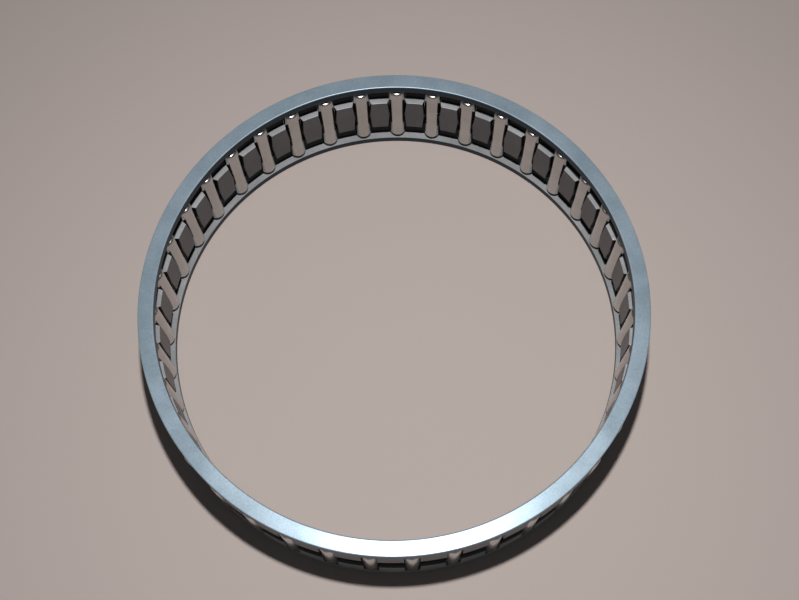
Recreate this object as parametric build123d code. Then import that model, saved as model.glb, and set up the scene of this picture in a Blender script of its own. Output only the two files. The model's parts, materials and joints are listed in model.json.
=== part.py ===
from build123d import *
import math
import os

# Needle roller and cage assembly: 39 loose needle rollers held in a one-piece M-section steel cage.
# It has no rings of its own: the shaft and the housing bore are its raceways.
# Units are millimetres. The origin is the centre of the bearing and +Z is its axis.

# --- what the bearing fits ---
shaft_diameter = 80.0            # circle that the rollers touch inside
roller_diameter = 3.0            # sets the housing bore: shaft_diameter + 2 * roller_diameter
roller_count = 39
cage_width = 20.0                # along the axis, over both rims

# --- cage section ---
inner_stand_out = 0.15           # how far a roller stands proud of the rim bore
outer_stand_out = 0.2            # how far a roller stands proud of the rim's outside
rim_thickness = 1.6              # each end rim, along the axis
rib_half_height = 4.3            # centre rib, half its height along the axis
rib_relief = 0.1                 # rib face behind the rim bore
web_thickness = 1.1              # wall that joins the rib to the skin, along the axis
skin_offset = 0.0                # inside of the skin, outwards from the roller pitch circle
rib_back_offset = 0.2            # back of the rib, outwards from the roller pitch circle
rim_chamfer = 0.2
edge_chamfer = 0.15
groove_radius = 0.3              # root radius of the turned grooves

# --- pockets ---
pocket_clearance = 0.08          # radial gap round a roller
lip_overlap = 0.18               # how far each lip reaches past the roller's side
lip_length = 3.2                 # inner lips, along the axis, at mid-width
mouth_chamfer = 0.2              # opens the mouth between the inner lips on the rib face
side_opening = 0.35              # gap beside a roller on the rib face, above and below the inner lips
roller_end_clearance = 0.1       # gap at each end of a roller
pocket_end_margin = 0.9          # skin between a pocket's end and the rim

# --- rollers ---
roller_corner_radius = 0.5

# --- worked out ---
pitch_radius = (shaft_diameter + roller_diameter) / 2
rim_bore_radius = shaft_diameter / 2 + inner_stand_out
rim_outer_radius = shaft_diameter / 2 + roller_diameter - outer_stand_out
rib_face_radius = rim_bore_radius + rib_relief
rib_back_radius = pitch_radius + rib_back_offset
skin_inner_radius = pitch_radius + skin_offset
half_width = cage_width / 2
rim_inner_face = half_width - rim_thickness
back_groove_half = rib_half_height - web_thickness
pocket_half_length = rim_inner_face - pocket_end_margin
roller_length = 2 * (pocket_half_length - roller_end_clearance)
pocket_throat = roller_diameter - 2 * lip_overlap
pocket_radius = roller_diameter / 2 + pocket_clearance
pocket_step = 360 / roller_count
cut_past_wall = 1.0              # how far a cutting tool runs past the wall it opens
same_place = 1e-4                # two sizes this close are the same place


def near(vertex, radius, height):
    """Is this corner of the section at the given radius and height, above or below mid-width?"""
    return abs(vertex.X - radius) < same_place and abs(abs(vertex.Z) - height) < same_place


def cage_section():
    """The M section: two rims, a thin skin behind two inner grooves, and a centre rib."""
    upper = [
        (rib_face_radius, rib_half_height),
        (skin_inner_radius, rib_half_height),
        (skin_inner_radius, rim_inner_face),
        (rim_bore_radius, rim_inner_face),
        (rim_bore_radius, half_width),
        (rim_outer_radius, half_width),
        (rim_outer_radius, back_groove_half),
        (rib_back_radius, back_groove_half),
    ]
    lower = [(radius, -height) for radius, height in reversed(upper)]
    outline = [(radius, 0, height) for radius, height in upper + lower]
    section = make_face(Polyline(*outline, close=True)).face()
    corners = section.vertices()
    roots = [corner for corner in corners if near(corner, skin_inner_radius, rib_half_height)]
    roots += [corner for corner in corners if near(corner, skin_inner_radius, rim_inner_face)]
    roots += [corner for corner in corners if near(corner, rib_back_radius, back_groove_half)]
    return section.fillet_2d(groove_radius, roots)


def edges_at_height(shape, height, radius):
    """The circular edges at a height above and below mid-width, of one radius or, with None, of any."""
    circles = shape.edges().filter_by(GeomType.CIRCLE)
    level = [edge for edge in circles if abs(abs(edge.center().Z) - height) < same_place]
    return [edge for edge in level if radius is None or abs(edge.radius - radius) < same_place]


def cage_blank():
    """The section turned about the axis, with the edges of its rims and its rib broken."""
    blank = revolve(cage_section(), Axis.Z, 360)
    blank = chamfer(edges_at_height(blank, half_width, None), rim_chamfer)
    return chamfer(edges_at_height(blank, rib_half_height, rib_face_radius), edge_chamfer)


def flare_tool(root_radius, root_half, face_half, length):
    """A wedge that widens from its root to the rib face and runs on past it."""
    widening = (face_half - root_half) / (root_radius - rib_face_radius)
    inside = rib_face_radius - cut_past_wall
    inside_half = face_half + widening * cut_past_wall
    outline = [
        (inside, -inside_half),
        (root_radius, -root_half),
        (root_radius, root_half),
        (inside, inside_half),
    ]
    wedge = make_face(Polyline(*outline, close=True))
    return Pos(0, 0, -length / 2) * extrude(wedge, length)


def pocket_tool():
    """What one roller needs cut away: a bore, a throat, a mouth between the lips, and open sides."""
    length = 2 * pocket_half_length
    bore = Cylinder(pocket_radius, length)
    inner_reach = pitch_radius - rim_bore_radius + cut_past_wall
    outer_reach = rim_outer_radius - pitch_radius + cut_past_wall
    throat = Box(inner_reach + outer_reach, pocket_throat, length)
    throat = Pos((outer_reach - inner_reach) / 2, 0, 0) * throat
    half_throat = pocket_throat / 2
    mouth = flare_tool(rib_face_radius + mouth_chamfer, half_throat, half_throat + mouth_chamfer, length)
    open_length = pocket_half_length - lip_length / 2
    side = flare_tool(pitch_radius, roller_diameter / 2, roller_diameter / 2 + side_opening, open_length)
    side_height = (pocket_half_length + lip_length / 2) / 2
    sides = Pos(0, 0, side_height) * side + Pos(0, 0, -side_height) * side
    return Pos(pitch_radius, 0, 0) * (bore + throat) + mouth + sides


def make_cage():
    """The turned blank with one pocket for each roller."""
    tool = pocket_tool()
    tools = [Rot(0, 0, index * pocket_step) * tool for index in range(roller_count)]
    return cage_blank() - tools


def make_roller(index):
    """One needle roller with flat ends and rounded corners, at its place on the pitch circle."""
    roller = Cylinder(roller_diameter / 2, roller_length)
    roller = fillet(roller.edges().filter_by(GeomType.CIRCLE), roller_corner_radius)
    return Rot(0, 0, index * pocket_step) * Pos(pitch_radius, 0, 0) * roller


def main():
    os.makedirs("parts", exist_ok=True)
    export_step(make_cage(), "parts/cage.step")
    for index in range(roller_count):
        export_step(make_roller(index), f"parts/roller_{index + 1:02d}.step")
    print("cage", 2 * rim_bore_radius, "to", 2 * rim_outer_radius, "x", cage_width)
    print("rollers", roller_count, "of", roller_diameter, "x", roller_length)


main()
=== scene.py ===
# %% [markdown]
# # A needle roller and cage assembly
# The real object is a ring of thin steel rollers, each loose in its own window of one
# machined cage. It has no rings of its own: it is slipped between a hardened shaft and a
# hardened housing bore. Two finishes make it recognisable: the ground steel of the cage,
# with a painted blue-grey sheen on its ends, and the nearly mirror-bright rollers.
# The sizes come from the imported frame, so every piece here is measured from it, not typed.

import json
import math

import bpy
from mathutils import Matrix, Vector


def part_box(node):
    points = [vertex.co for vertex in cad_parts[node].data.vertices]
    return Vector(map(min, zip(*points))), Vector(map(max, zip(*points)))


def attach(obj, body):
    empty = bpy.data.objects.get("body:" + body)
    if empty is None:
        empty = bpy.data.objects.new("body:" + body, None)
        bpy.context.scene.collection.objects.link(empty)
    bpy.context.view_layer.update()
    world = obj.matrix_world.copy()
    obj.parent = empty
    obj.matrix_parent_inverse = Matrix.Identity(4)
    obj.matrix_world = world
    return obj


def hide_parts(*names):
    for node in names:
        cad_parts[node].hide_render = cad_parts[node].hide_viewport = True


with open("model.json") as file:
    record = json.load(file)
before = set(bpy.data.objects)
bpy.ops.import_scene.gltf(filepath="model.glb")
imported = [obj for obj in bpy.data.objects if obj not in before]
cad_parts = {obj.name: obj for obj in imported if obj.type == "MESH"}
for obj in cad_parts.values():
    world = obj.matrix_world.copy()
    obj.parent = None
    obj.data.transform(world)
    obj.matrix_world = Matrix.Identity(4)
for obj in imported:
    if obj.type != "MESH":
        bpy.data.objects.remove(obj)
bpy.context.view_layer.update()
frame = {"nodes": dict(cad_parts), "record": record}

# %% Read the main sizes from the frame
MM = 0.001
rollers = sorted(name for name in frame["nodes"] if name.startswith("roller_"))
roller_count = len(rollers)
step = 2 * math.pi / roller_count

cage_low, cage_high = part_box("cage")
outer_radius = cage_high.x
half_width = cage_high.z

roller_low, roller_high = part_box(rollers[0])
pitch_radius = (roller_low.x + roller_high.x) / 2
roller_radius = (roller_high.x - roller_low.x) / 2
roller_length = roller_high.z - roller_low.z

mounts = {mount["name"]: mount for mount in frame["record"]["mounts"]}
bore_radius = mounts["shaft_bore"]["dims"]["r_mm"] * MM
print(roller_count, "rollers of", round(2000 * roller_radius, 2), "x", round(1000 * roller_length, 2), "mm")
print("cage bore", round(2000 * bore_radius, 2), "mm, outside", round(2000 * outer_radius, 2), "mm")

# %% [markdown]
# The rest of the cage's section can't be read from a box, so it is named here once: how thick
# the rims are, where the centre rib and the grooves begin, and how tightly the pockets hold
# their rollers. The tiny edge breaks are what catches the light on a machined part.

# %% Name the sizes of the cage's section
rim_thickness = 1.6 * MM
rib_half_height = 4.3 * MM
rib_relief = 0.1 * MM
web_thickness = 1.1 * MM
rib_back_offset = 0.2 * MM
pocket_clearance = 0.08 * MM
lip_overlap = 0.18 * MM
lip_length = 3.2 * MM
mouth_chamfer = 0.2 * MM
side_opening = 0.35 * MM
roller_end_clearance = 0.1 * MM
rim_chamfer = 0.2 * MM
rib_chamfer = 0.15 * MM
groove_root = 0.3 * MM
edge_break = 0.05 * MM
roller_corner = 0.5 * MM
roller_end_inset = 0.25 * MM

rib_face_radius = bore_radius + rib_relief
rib_back_radius = pitch_radius + rib_back_offset
rim_inner_face = half_width - rim_thickness
back_groove_half = rib_half_height - web_thickness
pocket_half_length = roller_length / 2 + roller_end_clearance
pocket_throat = 2 * (roller_radius - lip_overlap)
print("skin thickness", round(1000 * (outer_radius - pitch_radius), 2), "mm")

# %% [markdown]
# Selection is where scripted modelling goes wrong: an operator acts on everything selected.
# These helpers clear the selection first, and pick faces, edges or corners by a test.

# %% Name how close counts as the same, and which angles count as sharp
FINE = 1e-7
NEAR = 1e-6
SEAM = 2 * NEAR
SAME_ANGLE = 1e-5
SAME_WAY = 0.999
FLAT_BELOW = math.radians(1)
SMOOTH_BELOW = math.radians(35)
BREAK_ABOVE = math.radians(38)


# %% Helpers for selecting and editing
def activate(piece):
    """Makes one object the only selected one."""
    bpy.ops.object.select_all(action="DESELECT")
    piece.select_set(True)
    bpy.context.view_layer.objects.active = piece


def edit(piece, mode="VERT"):
    """Opens a piece in edit mode with nothing selected."""
    activate(piece)
    bpy.ops.object.mode_set(mode="EDIT")
    bpy.ops.mesh.select_mode(type=mode)
    bpy.ops.mesh.select_all(action="DESELECT")


def pick(piece, kind, test):
    """Selects the vertices, edges or faces for which test is true, and says how many."""
    bpy.ops.mesh.select_mode(type={"vertices": "VERT", "edges": "EDGE", "polygons": "FACE"}[kind])
    bpy.ops.mesh.select_all(action="DESELECT")
    bpy.ops.object.mode_set(mode="OBJECT")
    count = 0
    for item in getattr(piece.data, kind):
        item.select = bool(test(item))
        count += item.select
    bpy.ops.object.mode_set(mode="EDIT")
    return count


def done():
    """Back to object mode."""
    bpy.ops.object.mode_set(mode="OBJECT")


def apply_place(piece):
    """Moves the object's place, turn and size into its mesh."""
    activate(piece)
    bpy.ops.object.transform_apply(location=True, rotation=True, scale=True)


def apply_modifier(piece, name):
    """Applies one modifier by name."""
    activate(piece)
    bpy.ops.object.modifier_apply(modifier=name)


# %% [markdown]
# ## The camera and the floor
# The camera is set before anything is modelled.
# It looks steeply down from the near side, as a person looks at a part on a bench. The
# distances are in outer radii of the cage, so the framing follows the part's size.

# %% Place the camera
CAMERA_ELEVATION = math.radians(69.56)
CAMERA_AZIMUTH = math.radians(-3.92)
CAMERA_ROLL = math.radians(-2.56)
CAMERA_DISTANCE = 4.760
AIM_RIGHT = 0.0168
AIM_UP = 0.1498
LENS_MM = 49.9
SENSOR_MM = 36
NEAREST = 0.005
FARTHEST = 10

floor_height = -half_width
forward = Vector((0, math.cos(CAMERA_ELEVATION), -math.sin(CAMERA_ELEVATION)))
right = Vector((1, 0, 0))
up = right.cross(forward)
turn = Matrix.Rotation(CAMERA_AZIMUTH, 3, "Z")
roll_right = turn @ (right * math.cos(CAMERA_ROLL) + up * math.sin(CAMERA_ROLL))
roll_up = turn @ (up * math.cos(CAMERA_ROLL) - right * math.sin(CAMERA_ROLL))
look = turn @ forward
aim = Vector((0, 0, floor_height)) + outer_radius * (AIM_RIGHT * roll_right + AIM_UP * roll_up)
eye = aim - look * CAMERA_DISTANCE * outer_radius

bpy.ops.object.camera_add(location=eye)
camera = bpy.context.object
camera.name = "camera"
camera.rotation_mode = "QUATERNION"
camera.rotation_quaternion = Matrix((roll_right, roll_up, -look)).transposed().to_quaternion()
camera.data.lens = LENS_MM
camera.data.sensor_width = SENSOR_MM
camera.data.clip_start = NEAREST
camera.data.clip_end = FARTHEST
bpy.context.scene.camera = camera
print("camera", [round(v, 4) for v in eye])

# %% Lay the floor
FLOOR_WIDTH = 3
bpy.ops.mesh.primitive_plane_add(size=FLOOR_WIDTH, location=(0, 0, floor_height))
floor = bpy.context.object
floor.name = "floor"
print("floor", FLOOR_WIDTH, "m wide at", round(1000 * floor_height, 2), "mm")

# %% [markdown]
# ## The rollers
# A needle roller is a plain cylinder, but three things make it read as one: a true flat end,
# a rounded corner between end and side, and a very fine finish. A cylinder primitive gives
# the side, a bevel of its two end loops gives the corner, and an inset keeps the flat end
# from shading into it. One roller is shaped and the others are turned copies of it.

# %% Shape one roller
ROLLER_SIDES = 48
CORNER_STEPS = 5
bpy.ops.object.select_all(action="DESELECT")
bpy.ops.mesh.primitive_cylinder_add(
    vertices=ROLLER_SIDES,
    radius=roller_radius,
    depth=roller_length,
    end_fill_type="NGON",
    location=(pitch_radius, 0, 0),
)
pattern_roller = bpy.context.object
pattern_roller.name = "pattern_roller"
apply_place(pattern_roller)
edit(pattern_roller, "EDGE")
points = pattern_roller.data.vertices


def on_one_end(edge):
    """Is this edge part of the loop round a roller's end?"""
    heights = [points[index].co.z for index in edge.vertices]
    return abs(heights[0] - heights[1]) < FINE


loops = pick(pattern_roller, "edges", on_one_end)
bpy.ops.mesh.bevel(offset=roller_corner, segments=CORNER_STEPS, profile=0.5, affect="EDGES")
ends = pick(pattern_roller, "polygons", lambda face: len(face.vertices) == ROLLER_SIDES)
bpy.ops.mesh.inset(thickness=roller_end_inset)
done()
print("roller:", loops, "end edges bevelled,", ends, "ends inset")

# %% [markdown]
# ## The cage
# The real cage is turned from one tube, and its pockets are then cut through. The same order
# works here: a flat rectangle as wide and deep as the tube's wall is sliced at the heights and
# radii of the grooves, the unwanted cells are deleted, and what is left is the M section.
# Spun about the axis through one roller's share of the circle, it becomes one sector. The
# pocket is cut in that one sector, and the sector is repeated all the way round.

# %% Slice the section out of a rectangle
wall = outer_radius - bore_radius
bpy.ops.object.select_all(action="DESELECT")
bpy.ops.mesh.primitive_plane_add(
    size=1,
    location=(bore_radius + wall / 2, 0, 0),
    rotation=(math.pi / 2, 0, 0),
)
sector = bpy.context.object
sector.name = "cage_steel"
sector.scale = (wall, 2 * half_width, 1)
apply_place(sector)
edit(sector)


def slice_at(radius=None, height=None):
    """Cuts the flat section at one radius or one height."""
    bpy.ops.mesh.select_all(action="SELECT")
    if radius is not None:
        bpy.ops.mesh.bisect(plane_co=(radius, 0, 0), plane_no=(1, 0, 0), threshold=FINE)
    else:
        bpy.ops.mesh.bisect(plane_co=(0, 0, height), plane_no=(0, 0, 1), threshold=FINE)


for side in (1, -1):
    slice_at(height=side * back_groove_half)
    slice_at(height=side * rib_half_height)
    slice_at(height=side * rim_inner_face)
for cut_radius in (rib_face_radius, pitch_radius, rib_back_radius):
    slice_at(radius=cut_radius)


def outside_the_metal(face):
    """Is this cell of the rectangle in a groove?"""
    radius, height = face.center.x, abs(face.center.z)
    in_front_groove = radius < pitch_radius and rib_half_height < height < rim_inner_face
    before_rib = radius < rib_face_radius and height < rib_half_height
    in_back_groove = radius > rib_back_radius and height < back_groove_half
    return in_front_groove or before_rib or in_back_groove


removed = pick(sector, "polygons", outside_the_metal)
bpy.ops.mesh.delete(type="FACE")
bpy.ops.mesh.select_all(action="SELECT")
bpy.ops.mesh.dissolve_limited(angle_limit=FLAT_BELOW)
done()
print("section:", removed, "cells removed,", len(sector.data.vertices), "corners left")

# %% [markdown]
# A sharp corner never shines, because it has no width. So the rims get a chamfer, the rib a
# smaller one, and the grooves a small root radius, as the turning tool leaves them.


# %% Break the section's corners
def corner_at(radius, height):
    """A test for the corners of the section at one radius and height, above and below."""
    def test(vertex):
        return abs(vertex.co.x - radius) < NEAR and abs(abs(vertex.co.z) - height) < NEAR
    return test


edit(sector)
for radius, height, size, segments in (
    (bore_radius, half_width, rim_chamfer, 2),
    (outer_radius, half_width, rim_chamfer, 2),
    (bore_radius, rim_inner_face, edge_break, 2),
    (rib_face_radius, rib_half_height, rib_chamfer, 2),
    (outer_radius, back_groove_half, edge_break, 2),
    (pitch_radius, rib_half_height, groove_root, 4),
    (pitch_radius, rim_inner_face, groove_root, 4),
    (rib_back_radius, back_groove_half, groove_root, 4),
):
    found = pick(sector, "vertices", corner_at(radius, height))
    bpy.ops.mesh.bevel(offset=size, segments=segments, affect="VERTICES")
    print("corner at", round(1000 * radius, 2), round(1000 * height, 2), "mm:", found)
done()

# %% Spin the section through one roller's share of the circle
# The section is first turned back by half a share, and spin then turns it forward by a whole one.
SECTOR_STEPS = 12
edit(sector)
bpy.ops.mesh.select_all(action="SELECT")
bpy.ops.transform.rotate(value=step / 2, orient_axis="Z", orient_type="GLOBAL", center_override=(0, 0, 0))
bpy.ops.mesh.spin(steps=SECTOR_STEPS, angle=step, center=(0, 0, 0), axis=(0, 0, -1))
bpy.ops.mesh.select_all(action="SELECT")
bpy.ops.mesh.remove_doubles(threshold=FINE)
bpy.ops.mesh.normals_make_consistent(inside=False)
done()
angles = [math.degrees(math.atan2(vertex.co.y, vertex.co.x)) for vertex in sector.data.vertices]
print("sector from", round(min(angles), 3), "to", round(max(angles), 3), "degrees")

# %% [markdown]
# A pocket is several cuts in one: a bore just larger than the roller, a straight throat just
# narrower than it, so that the lips hold the roller in, and a mouth that opens on the rib's
# face. Above and below the inner lips the sides open out towards the rib's ends, which leaves
# the dark gaps seen beside every roller. Each is a primitive taken away with a Boolean modifier.

# %% Make the cutters
PAST = 1.0 * MM
POCKET_SIDES = 64
pocket_corner = 0.25 * MM


def cutter_bore():
    """The clearance bore round the roller."""
    bpy.ops.object.select_all(action="DESELECT")
    bpy.ops.mesh.primitive_cylinder_add(
        vertices=POCKET_SIDES,
        radius=roller_radius + pocket_clearance,
        depth=2 * pocket_half_length,
        location=(pitch_radius, 0, 0),
    )
    return bpy.context.object


def cutter_block(inside, outside, width):
    """A block through the wall from one radius to another."""
    bpy.ops.object.select_all(action="DESELECT")
    bpy.ops.mesh.primitive_cube_add(size=1, location=((inside + outside) / 2, 0, 0))
    block = bpy.context.object
    block.scale = (outside - inside, width, 2 * pocket_half_length)
    apply_place(block)
    return block


def cutter_throat():
    """The straight throat, with its four corners rounded as a milling cutter leaves them."""
    block = cutter_block(bore_radius - PAST, outer_radius + PAST, pocket_throat)
    edit(block, "EDGE")
    corners = block.data.vertices

    def runs_outwards(edge):
        """Does this edge run from the inside of the wall to the outside?"""
        first, second = (corners[index].co.x for index in edge.vertices)
        return abs(first - second) > PAST

    pick(block, "edges", runs_outwards)
    bpy.ops.mesh.bevel(offset=pocket_corner, segments=4, affect="EDGES")
    done()
    return block


def cutter_flare(root, root_width, face_width, low, high):
    """A block whose inner end is drawn wide, so its sides slope out to the rib's face and past it."""
    inside = rib_face_radius - PAST
    inside_width = face_width + (face_width - root_width) / (root - rib_face_radius) * PAST
    block = cutter_block(inside, root, root_width)
    edit(block)
    pick(block, "vertices", lambda vertex: vertex.co.x < inside + FINE)
    bpy.ops.transform.resize(value=(1, inside_width / root_width, 1), center_override=(inside, 0, 0))
    done()
    block.scale.z = (high - low) / (2 * pocket_half_length)
    block.location.z = (high + low) / 2
    apply_place(block)
    return block


def cutter_mouth():
    """The mouth between the lips, with sides at 45 degrees."""
    root = rib_face_radius + mouth_chamfer
    widest = pocket_throat + 2 * mouth_chamfer
    return cutter_flare(root, pocket_throat, widest, -pocket_half_length, pocket_half_length)


def cutter_side(side):
    """The open side of a pocket, from as narrow as the mouth to wide open at the rib's end."""
    start = lip_length / 4
    ends = sorted((side * start, side * (rib_half_height + PAST)))
    widest = 2 * (roller_radius + side_opening)
    block = cutter_flare(pitch_radius, 2 * roller_radius, widest, *ends)
    edit(block)
    pick(block, "vertices", lambda vertex: abs(vertex.co.z) < start + FINE)
    narrowing = (pocket_throat + 2 * mouth_chamfer) / widest
    bpy.ops.transform.resize(value=(1, narrowing, 1), center_override=(pitch_radius, 0, 0))
    done()
    return block


# %% Cut the pocket
def cut(piece, tool):
    """Takes the tool's volume out of the piece and throws the tool away."""
    modifier = piece.modifiers.new("cut", "BOOLEAN")
    modifier.operation = "DIFFERENCE"
    modifier.solver = "EXACT"
    modifier.object = tool
    apply_modifier(piece, modifier.name)
    bpy.data.objects.remove(tool, do_unlink=True)


cut(sector, cutter_bore())
cut(sector, cutter_throat())
cut(sector, cutter_mouth())
for side in (1, -1):
    cut(sector, cutter_side(side))
print("sector with its pocket:", len(sector.data.polygons), "faces")

# %% [markdown]
# The two end faces of the sector would be walls inside the finished ring, so they go before
# the edges are broken. A bevel limited by angle then finds only the edges of the pocket,
# because the turned corners are already made of shallow steps.

# %% Open the sector's ends and break the pocket's edges
edit(sector, "FACE")
end_turn = Matrix.Rotation(step / 2, 3, "Z")
end_normals = (end_turn @ Vector((0, 1, 0)), end_turn.transposed() @ Vector((0, -1, 0)))


def is_end(face):
    """Is this face one of the sector's two flat ends?"""
    angle = abs(math.atan2(face.center.y, face.center.x))
    faces_end = any(face.normal.dot(normal) > SAME_WAY for normal in end_normals)
    return abs(angle - step / 2) < SAME_ANGLE and faces_end


ends = pick(sector, "polygons", is_end)
bpy.ops.mesh.delete(type="FACE")
bpy.ops.mesh.select_all(action="SELECT")
bpy.ops.mesh.remove_doubles(threshold=NEAR)
done()
bevel = sector.modifiers.new("edge_break", "BEVEL")
bevel.width = edge_break
bevel.segments = 2
bevel.limit_method = "ANGLE"
bevel.angle_limit = BREAK_ABOVE
bevel.use_clamp_overlap = True
apply_modifier(sector, "edge_break")
print("ends removed:", ends, "faces after bevel:", len(sector.data.polygons))

# %% [markdown]
# The ring is the sector repeated once for each roller. An array that turns each copy by one
# share gives that, and merging the points where two copies meet closes every seam. Edges that
# are still open would show as cracks, so they are counted.

# %% Repeat the sector round the axis
bpy.ops.object.empty_add(location=(0, 0, 0), rotation=(0, 0, step))
turning_point = bpy.context.object
ring = sector.modifiers.new("ring", "ARRAY")
ring.count = roller_count
ring.use_relative_offset = False
ring.use_object_offset = True
ring.offset_object = turning_point
ring.use_merge_vertices = True
ring.use_merge_vertices_cap = True
ring.merge_threshold = SEAM
apply_modifier(sector, "ring")
bpy.data.objects.remove(turning_point, do_unlink=True)
cage = sector
edit(cage)
bpy.ops.mesh.select_all(action="SELECT")
bpy.ops.mesh.remove_doubles(threshold=SEAM)
bpy.ops.mesh.normals_make_consistent(inside=False)
bpy.ops.mesh.select_all(action="DESELECT")
bpy.ops.mesh.select_mode(type="EDGE")
bpy.ops.mesh.select_non_manifold()
done()
open_edges = sum(edge.select for edge in cage.data.edges)
triangles = sum(len(face.vertices) - 2 for face in cage.data.polygons)
print("cage:", triangles, "triangles,", open_edges, "edges that aren't closed")

# %% [markdown]
# The turned walls are made of flat strips. Smoothing them by angle keeps the machined edges
# crisp, and weighting the normals by area keeps the wide faces flat beside the small bevels.

# %% Smooth the cage's shading
activate(cage)
bpy.ops.object.shade_smooth_by_angle(angle=SMOOTH_BELOW)
weighted = cage.modifiers.new("weighted", "WEIGHTED_NORMAL")
weighted.keep_sharp = True
weighted.weight = 100
apply_modifier(cage, "weighted")

# %% [markdown]
# All rollers are alike, so the shaped one is duplicated and each copy is turned about the
# cage's axis. Each gets its own mesh with its place in it, and rides on the body of its node.

# %% Copy the roller into every pocket
activate(pattern_roller)
bpy.ops.object.shade_smooth_by_angle(angle=SMOOTH_BELOW)
needles = [pattern_roller]
for index in range(1, roller_count):
    activate(pattern_roller)
    bpy.ops.object.duplicate(linked=False)
    copy = bpy.context.object
    copy.rotation_euler.z = index * step
    apply_place(copy)
    needles.append(copy)
for needle, node in zip(needles, rollers):
    needle.name = node.replace("roller", "needle")
    needle.data.name = needle.name
    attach(needle, node)
    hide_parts(node)
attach(cage, "cage")
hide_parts("cage")
print(len(needles), "needles")

# %% [markdown]
# ## Finishes
# Both finishes are bare steel, but they're made differently. The cage is turned and ground,
# with a fine grain and a broad blue-grey sheen painted on its ends. The rollers are lapped
# until they mirror what is round them. Both are built from a few kinds of node, so helpers add and link
# those.


# %% A helper that adds and links shader nodes
def new_steel(name):
    """An empty material with a metal shader, and its node tree."""
    material = bpy.data.materials.new(name)
    material.use_nodes = True
    tree = material.node_tree
    shader = tree.nodes["Principled BSDF"]
    return material, tree, shader


def node(tree, kind, **settings):
    """Adds a shader node and sets its properties; a name with a double underscore is an input."""
    made = tree.nodes.new(kind)
    for key, value in settings.items():
        if key.startswith("in__"):
            made.inputs[key[4:].replace("_", " ")].default_value = value
        else:
            setattr(made, key, value)
    return made


def ramp(tree, source, low, high, colours):
    """A colour ramp between two positions of a value."""
    made = tree.nodes.new("ShaderNodeValToRGB")
    made.color_ramp.elements[0].position = low
    made.color_ramp.elements[1].position = high
    made.color_ramp.elements[0].color = (*colours[0], 1)
    made.color_ramp.elements[1].color = (*colours[1], 1)
    tree.links.new(source, made.inputs["Fac"])
    return made.outputs["Color"]


def spread(tree, source, low, high, to_low, to_high):
    """Maps a value from one range to another."""
    made = tree.nodes.new("ShaderNodeMapRange")
    for socket, value in (("From Min", low), ("From Max", high), ("To Min", to_low), ("To Max", to_high)):
        made.inputs[socket].default_value = value
    tree.links.new(source, made.inputs["Value"])
    return made.outputs["Result"]


# %% Helpers that mix colours and measure places
def mingle(tree, share, first, second, blend="MIX"):
    """Mixes two colours by a share, which is a number or a socket."""
    made = node(tree, "ShaderNodeMix", data_type="RGBA", blend_type=blend)
    if isinstance(share, float):
        made.inputs["Factor"].default_value = share
    else:
        tree.links.new(share, made.inputs["Factor"])
    tree.links.new(first, made.inputs[6])
    tree.links.new(second, made.inputs[7])
    return made.outputs[2]


def math_node(tree, operation, first, second, third=None):
    """A maths node whose inputs are numbers or sockets."""
    made = node(tree, "ShaderNodeMath", operation=operation)
    for index, value in enumerate((first, second, third)):
        if value is None:
            continue
        if isinstance(value, (int, float)):
            made.inputs[index].default_value = value
        else:
            tree.links.new(value, made.inputs[index])
    return made.outputs["Value"]


def radius_and_height(tree, place):
    """How far a point is from the axis, and how far above or below mid-width."""
    apart = node(tree, "ShaderNodeSeparateXYZ")
    tree.links.new(place, apart.inputs["Vector"])
    flat = node(tree, "ShaderNodeCombineXYZ")
    tree.links.new(apart.outputs["X"], flat.inputs["X"])
    tree.links.new(apart.outputs["Y"], flat.inputs["Y"])
    length = node(tree, "ShaderNodeVectorMath", operation="LENGTH")
    tree.links.new(flat.outputs["Vector"], length.inputs[0])
    return length.outputs["Value"], math_node(tree, "ABSOLUTE", apart.outputs["Z"], None)


def fade(tree, source, low, high):
    """Rises from 0 to 1 between two values."""
    return spread(tree, source, low, high, 0.0, 1.0)


def fade_out(tree, source, low, high):
    """Falls from 1 to 0 between two values."""
    return spread(tree, source, low, high, 1.0, 0.0)


# %% [markdown]
# The cage isn't one even grey. Its ground ends carry a painted bright, bluish sheen, the rims'
# bores a painted shade, and the grooves and pocket walls a painted black shade; the rib is dull,
# and the ledges above and below it carry a painted highlight. Each tone is a dark and a light
# colour that clouds blend, and it is laid on by radius and height.

# %% Name the cage's tones
RIB_TONE = ((0.118, 0.110, 0.116), (0.137, 0.127, 0.134))
# Painted shade: near-black for the groove floors and pocket walls that the rims and rib shade.
GROOVE_SHADE_TONE = ((0.004, 0.004, 0.004), (0.008, 0.008, 0.008))
# Painted shade: a dark tone on the rims' bores.
RIM_BORE_SHADE_TONE = ((0.024, 0.036, 0.046), (0.03, 0.042, 0.054))
OUTSIDE_TONE = ((0.16, 0.165, 0.175), (0.20, 0.205, 0.215))
# Painted highlight: a lighter tone on the ledges that face the lamp.
LEDGE_HIGHLIGHT_TONE = ((0.27, 0.28, 0.29), (0.35, 0.36, 0.375))
# Painted sheen: a bright bluish tone on the ground ends, standing in for the light they reflect.
GROUND_SHEEN_TONE = ((0.25, 0.33, 0.39), (0.30, 0.385, 0.455))
FLECK_TONE = ((0.82, 0.82, 0.82), (1.0, 1.0, 1.0))
LEDGE_REACH = 0.06 * MM


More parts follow.
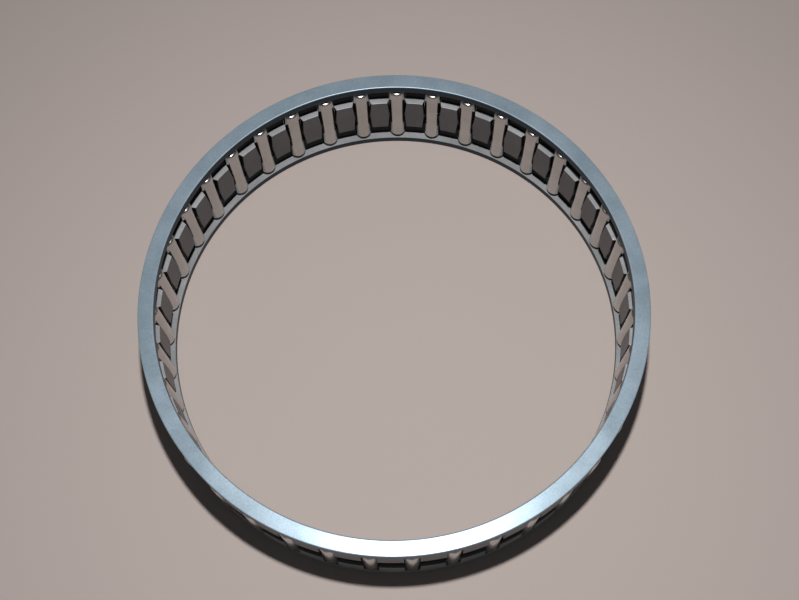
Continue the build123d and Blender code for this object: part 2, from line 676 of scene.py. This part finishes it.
def cage_tone(tree, clouds, radius, height, ground_end_and_sheen):
    """Painted sheen on the ground ends, painted shade on the rim bores, dull rib faces, painted highlight on
    the ledges, and painted black shade in the grooves.
    """
    def cloudy(tone):
        return ramp(tree, clouds, 0.35, 0.65, tone)

    # Painted shade: black on the groove floors and pocket walls, between the rib's face and the skin.
    past_face = fade(tree, radius, rib_face_radius + 0.04 * MM, rib_face_radius + 0.14 * MM)
    before_skin = fade_out(tree, radius, rib_back_radius + 0.3 * MM, rib_back_radius + 0.5 * MM)
    painted_groove_shade = math_node(tree, "MULTIPLY", past_face, before_skin)
    tone = mingle(tree, painted_groove_shade, cloudy(RIB_TONE), cloudy(GROOVE_SHADE_TONE))
    # Painted shade: the rims' bores are made darker.
    painted_rim_shade = fade(tree, height, rim_inner_face - 0.05 * MM, rim_inner_face + 0.05 * MM)
    tone = mingle(tree, painted_rim_shade, tone, cloudy(RIM_BORE_SHADE_TONE))
    outside = fade(tree, radius, outer_radius - 0.35 * MM, outer_radius - 0.2 * MM)
    tone = mingle(tree, outside, tone, cloudy(OUTSIDE_TONE))
    # Painted highlight: the ledges above and below the rib and under the rims are made lighter.
    rib_ledge = math_node(tree, "COMPARE", height, rib_half_height, LEDGE_REACH)
    rim_ledge = math_node(tree, "COMPARE", height, rim_inner_face, LEDGE_REACH)
    in_front = fade_out(tree, radius, pitch_radius - 0.25 * MM, pitch_radius - 0.15 * MM)
    painted_ledge_highlight = math_node(tree, "MULTIPLY", math_node(tree, "MAXIMUM", rib_ledge, rim_ledge), in_front)
    tone = mingle(tree, painted_ledge_highlight, tone, cloudy(LEDGE_HIGHLIGHT_TONE))
    # Painted sheen: the ground ends are made bright and bluish.
    return mingle(tree, ground_end_and_sheen, tone, cloudy(GROUND_SHEEN_TONE))


# %% The cage's finish
def cage_finish():
    """Bare steel with painted shade, highlights and sheen that differ from face to face, a fine grain and
    faint turning rings.
    """
    material, tree, shader = new_steel("ground_cage_steel")
    place = node(tree, "ShaderNodeTexCoord").outputs["Object"]
    clouds = node(tree, "ShaderNodeTexNoise", in__Scale=160.0, in__Detail=4.0, in__Roughness=0.6)
    grain = node(tree, "ShaderNodeTexNoise", in__Scale=2600.0, in__Detail=3.0, in__Roughness=0.7)
    tree.links.new(place, clouds.inputs["Vector"])
    tree.links.new(place, grain.inputs["Vector"])
    radius, height = radius_and_height(tree, place)
    # The ground ends, which take a painted bluish sheen and more metal.
    ground_end_and_sheen = fade(tree, height, half_width - rim_chamfer, half_width - rim_chamfer / 2)
    tone = cage_tone(tree, clouds.outputs["Fac"], radius, height, ground_end_and_sheen)
    fleck = ramp(tree, grain.outputs["Fac"], 0.32, 0.68, FLECK_TONE)
    tree.links.new(mingle(tree, 1.0, tone, fleck, "MULTIPLY"), shader.inputs["Base Color"])
    tree.links.new(spread(tree, clouds.outputs["Fac"], 0.3, 0.7, 0.29, 0.38), shader.inputs["Roughness"])

    rings_at = node(tree, "ShaderNodeCombineXYZ")
    tree.links.new(radius, rings_at.inputs["X"])
    tree.links.new(height, rings_at.inputs["Z"])
    rings = node(tree, "ShaderNodeTexNoise", in__Scale=9000.0, in__Detail=2.0)
    tree.links.new(rings_at.outputs["Vector"], rings.inputs["Vector"])
    bump = node(tree, "ShaderNodeBump", in__Strength=0.3, in__Distance=0.00001)
    tree.links.new(math_node(tree, "ADD", grain.outputs["Fac"], rings.outputs["Fac"]), bump.inputs["Height"])
    tree.links.new(bump.outputs["Normal"], shader.inputs["Normal"])
    tree.links.new(spread(tree, ground_end_and_sheen, 0.0, 1.0, 0.05, 0.30), shader.inputs["Metallic"])
    shader.inputs["Specular IOR Level"].default_value = 0.06
    return material


# %% [markdown]
# A roller is metal through and through to the shader, with low roughness, so it is mostly a
# picture of the floor and the ribs round it. Its corners and ends are a little rougher, so
# that they catch the lamp as a glint.

# %% The rollers' lapped steel
ROLLER_TONE = ((0.46, 0.45, 0.44), (0.52, 0.51, 0.50))
ROLLER_SIDE_ROUGHNESS = 0.20
ROLLER_END_ROUGHNESS = 0.26


def needle_finish():
    """Finely lapped steel with faint marks round each roller."""
    material, tree, shader = new_steel("lapped_roller_steel")
    place = node(tree, "ShaderNodeTexCoord").outputs["Object"]
    clouds = node(tree, "ShaderNodeTexNoise", in__Scale=220.0, in__Detail=3.0)
    tree.links.new(place, clouds.inputs["Vector"])
    tone = ramp(tree, clouds.outputs["Fac"], 0.35, 0.65, ROLLER_TONE)
    tree.links.new(tone, shader.inputs["Base Color"])
    radius, height = radius_and_height(tree, place)
    corner_from = roller_length / 2 - roller_corner
    corner_to = corner_from + 0.1 * MM
    roughness = (ROLLER_SIDE_ROUGHNESS, ROLLER_END_ROUGHNESS)
    tree.links.new(spread(tree, height, corner_from, corner_to, *roughness), shader.inputs["Roughness"])
    along = node(tree, "ShaderNodeCombineXYZ")
    tree.links.new(height, along.inputs["Z"])
    marks = node(tree, "ShaderNodeTexNoise", in__Scale=5000.0, in__Detail=2.0)
    tree.links.new(along.outputs["Vector"], marks.inputs["Vector"])
    bump = node(tree, "ShaderNodeBump", in__Strength=0.1, in__Distance=0.000005)
    tree.links.new(marks.outputs["Fac"], bump.inputs["Height"])
    tree.links.new(bump.outputs["Normal"], shader.inputs["Normal"])
    shader.inputs["Metallic"].default_value = 1.0
    return material


def coat(piece, material):
    """Gives a piece one material."""
    piece.data.materials.clear()
    piece.data.materials.append(material)


coat(cage, cage_finish())
needle_steel = needle_finish()
for needle in needles:
    coat(needle, needle_steel)

# %% [markdown]
# The floor is plain and matt, so that it takes the shadow and lends the rollers its warm tone.

# %% The floor's plain matt finish
floor_material, floor_tree, floor_shader = new_steel("pale_floor")
floor_shader.inputs["Base Color"].default_value = (0.46, 0.40, 0.375, 1)
floor_shader.inputs["Roughness"].default_value = 0.9
floor_shader.inputs["Specular IOR Level"].default_value = 0.2
coat(floor, floor_material)

# %% [markdown]
# ## Light
# One small lamp hangs about five radii above the part, a little to the near side. Being that
# close, it explains most of what the eye sees: the near rim mirrors it, the floor fades towards
# its corners, the rollers' top ends glint, and the only shadow shows along the near side.
# A soft surround, brighter towards the horizon, lights the walls when they're seen from the
# side, and keeps the steel from mirroring blackness.


# %% Hang the lamp and set the surround
LAMP_SIDE = 0.09
LAMP_NEAR = 0.39
LAMP_HEIGHT = 5.38
LAMP_SIZE = 0.008
LAMP_POWER = 0.50
SURROUND_ABOVE = 0.03
SURROUND_LEVEL = 0.32

lamp_spot = turn @ Vector((LAMP_SIDE * outer_radius, -LAMP_NEAR * outer_radius, 0))
lamp_spot.z = floor_height + LAMP_HEIGHT * outer_radius
bpy.ops.object.light_add(type="AREA", location=lamp_spot)
lamp = bpy.context.object
lamp.name = "lamp"
lamp.data.shape = "DISK"
lamp.data.size = LAMP_SIZE
lamp.data.energy = LAMP_POWER
lamp.data.color = (1.0, 0.98, 0.97)
lamp.visible_camera = False

world = bpy.data.worlds.new("surround")
bpy.context.scene.world = world
world.use_nodes = True
sky = world.node_tree
backdrop = sky.nodes["Background"]
backdrop.inputs["Color"].default_value = (0.92, 0.96, 1.0, 1)
direction = node(sky, "ShaderNodeTexCoord").outputs["Generated"]
rise = node(sky, "ShaderNodeSeparateXYZ")
sky.links.new(direction, rise.inputs["Vector"])
glow = spread(sky, rise.outputs["Z"], 0.05, 0.6, SURROUND_LEVEL, SURROUND_ABOVE)
sky.links.new(glow, backdrop.inputs["Strength"])
bpy.context.scene.view_settings.view_transform = "Standard"
print("lamp", [round(1000 * v, 1) for v in lamp_spot], "mm")
